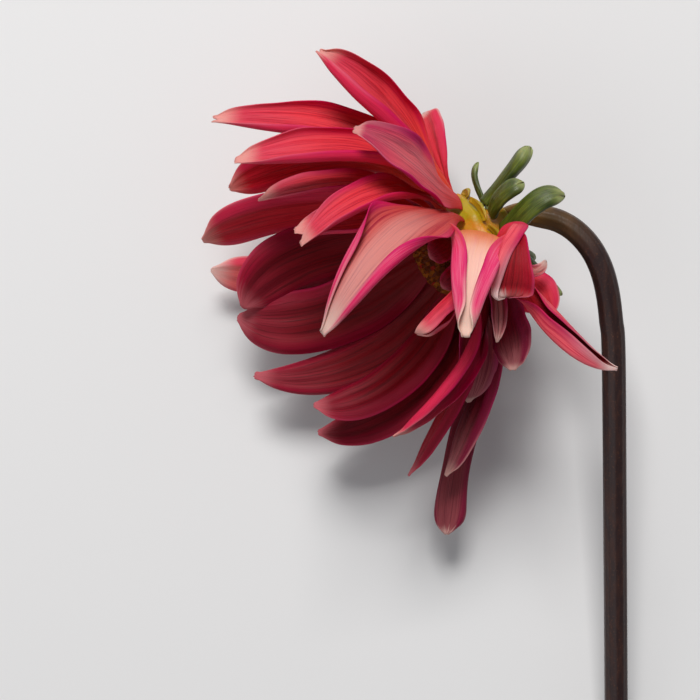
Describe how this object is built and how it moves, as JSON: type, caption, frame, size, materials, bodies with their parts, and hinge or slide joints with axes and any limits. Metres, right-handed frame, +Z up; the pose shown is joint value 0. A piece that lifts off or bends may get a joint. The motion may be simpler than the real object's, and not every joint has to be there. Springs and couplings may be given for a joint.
{
  "type": "dahlia flower",
  "caption": "Cut dahlia bloom lying on its side: a drooping head of pointed, rolled-edge coral-red petals with pale tips and a dark stem that hooks over behind it.",
  "frame": {"origin": "middle of the bottom of the flower's box, on the surface it lies on", "axes": "+Z up from the surface, +Y along the straight stem towards the head, +X to the stem's side, away from the way the flower faces"},
  "size_m": [0.0904, 0.1728, 0.07],
  "materials": {
    "petal_red": "soft satin petal, coral to crimson, cream backs and pale tips",
    "bract_green": "fleshy green bract, slightly waxy",
    "inner_bract_yellow": "thin yellow-green bract, slightly translucent",
    "receptacle_yellow": "fleshy yellow-green, waxy",
    "disc_brown": "matt olive brown tubular florets",
    "stem_purple": "dark brownish purple, fine ribs, satin"
  },
  "bodies": {
    "root": {"bract_1": "bract_green", "bract_2": "bract_green", "bract_3": "bract_green", "bract_4": "bract_green", "bract_5": "bract_green", "bract_6": "bract_green", "bract_7": "bract_green", "disc_florets": "disc_brown", "inner_bract_1": "inner_bract_yellow", "inner_bract_2": "inner_bract_yellow", "inner_bract_3": "inner_bract_yellow", "inner_bract_4": "inner_bract_yellow", "inner_bract_5": "inner_bract_yellow", "inner_bract_6": "inner_bract_yellow", "inner_bract_7": "inner_bract_yellow", "inner_bract_8": "inner_bract_yellow", "petal_centre_1": "petal_red", "petal_centre_2": "petal_red", "petal_centre_3": "petal_red", "petal_centre_4": "petal_red", "petal_centre_5": "petal_red", "petal_inner_1": "petal_red", "petal_inner_2": "petal_red", "petal_inner_3": "petal_red", "petal_inner_4": "petal_red", "petal_inner_5": "petal_red", "petal_inner_6": "petal_red", "petal_inner_7": "petal_red", "petal_inner_8": "petal_red", "petal_middle_1": "petal_red", "petal_middle_10": "petal_red", "petal_middle_2": "petal_red", "petal_middle_3": "petal_red", "petal_middle_4": "petal_red", "petal_middle_5": "petal_red", "petal_middle_6": "petal_red", "petal_middle_7": "petal_red", "petal_middle_8": "petal_red", "petal_middle_9": "petal_red", "petal_outer_1": "petal_red", "petal_outer_10": "petal_red", "petal_outer_11": "petal_red", "petal_outer_12": "petal_red", "petal_outer_2": "petal_red", "petal_outer_3": "petal_red", "petal_outer_4": "petal_red", "petal_outer_5": "petal_red", "petal_outer_6": "petal_red", "petal_outer_7": "petal_red", "petal_outer_8": "petal_red", "petal_outer_9": "petal_red", "receptacle": "receptacle_yellow", "stem": "stem_purple"}
  },
  "joints": []
}
